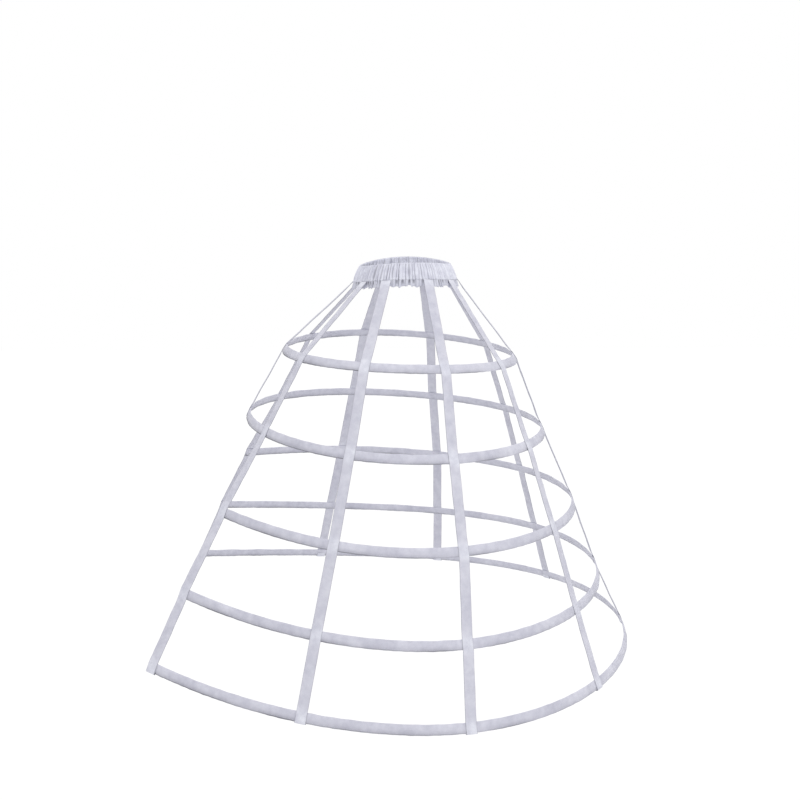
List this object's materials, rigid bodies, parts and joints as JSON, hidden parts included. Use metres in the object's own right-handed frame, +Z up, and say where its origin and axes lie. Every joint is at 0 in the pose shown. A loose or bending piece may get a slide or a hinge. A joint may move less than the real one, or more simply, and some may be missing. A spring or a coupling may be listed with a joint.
{
  "type": "crinoline cage",
  "caption": "Front-opening crinoline cage: boned fabric hoops hung on cotton tapes from a gathered elastic waistband.",
  "frame": {"origin": "middle of the waist opening, level with the waistband's top edge at centre back and centre front", "axes": "+Z up the wearer, +X to the wearer's left, -Y to the wearer's front"},
  "size_m": [1.0864, 0.9808, 0.8136],
  "materials": {
    "casing_fabric": "satin cotton tape",
    "tape": "twill cotton tape",
    "waist_fabric": "gathered cotton",
    "elastic": "braided elastic",
    "boning": "spring steel strip",
    "metal_fitting": "plain tinned"
  },
  "bodies": {
    "root": {"centre_back_tape": "tape", "centre_front_tape": "tape", "hoop_1_bone": "boning", "hoop_1_bone_sleeve": "metal_fitting", "hoop_1_casing": "casing_fabric", "hoop_2_bone": "boning", "hoop_2_bone_sleeve": "metal_fitting", "hoop_2_casing": "casing_fabric", "hoop_3_bone": "boning", "hoop_3_bone_tips": "metal_fitting", "hoop_3_casing": "casing_fabric", "hoop_4_bone": "boning", "hoop_4_bone_tips": "metal_fitting", "hoop_4_casing": "casing_fabric", "hoop_5_bone": "boning", "hoop_5_bone_tips": "metal_fitting", "hoop_5_casing": "casing_fabric", "left_back_tape": "tape", "left_front_tape": "tape", "left_side_back_tape": "tape", "left_side_front_tape": "tape", "right_back_tape": "tape", "right_front_tape": "tape", "right_side_back_tape": "tape", "right_side_front_tape": "tape", "waist_elastic": "elastic", "waistband": "waist_fabric"}
  },
  "joints": []
}
